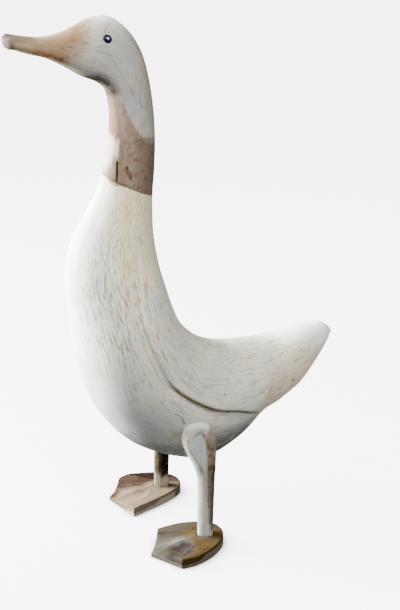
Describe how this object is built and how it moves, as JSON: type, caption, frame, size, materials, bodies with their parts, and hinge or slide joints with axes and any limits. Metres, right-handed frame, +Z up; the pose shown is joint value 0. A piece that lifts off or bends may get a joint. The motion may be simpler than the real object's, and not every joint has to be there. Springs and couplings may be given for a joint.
{
  "type": "carved wooden duck figure",
  "caption": "Standing long-necked duck carved from pale root wood, wings and raised tail cut in one with the body, on straight legs with webbed plank feet and bead eyes.",
  "frame": {"origin": "middle of the ground that the duck covers, on the floor under its feet", "axes": "+Z up; the duck looks along -X, so its left side is -Y"},
  "size_m": [0.3398, 0.2404, 0.519],
  "materials": {
    "pale_wood": "whitewashed and sanded, matt, with tan grain showing through",
    "head_wood": "bare root wood, grey white on the head and brown at the neck and bill, faint wax sheen",
    "leg_wood": "worn pale wood with brown streaks, matt",
    "foot_wood": "brown root wood with a rubbed pale wash, faint wax sheen",
    "eye_bead": "glossy black bead with a pale dot"
  },
  "bodies": {
    "root": {"body": "pale_wood", "head": "head_wood", "left_leg": "leg_wood", "right_leg": "leg_wood", "left_foot": "foot_wood", "right_foot": "foot_wood", "left_eye": "eye_bead", "right_eye": "eye_bead"}
  },
  "joints": []
}
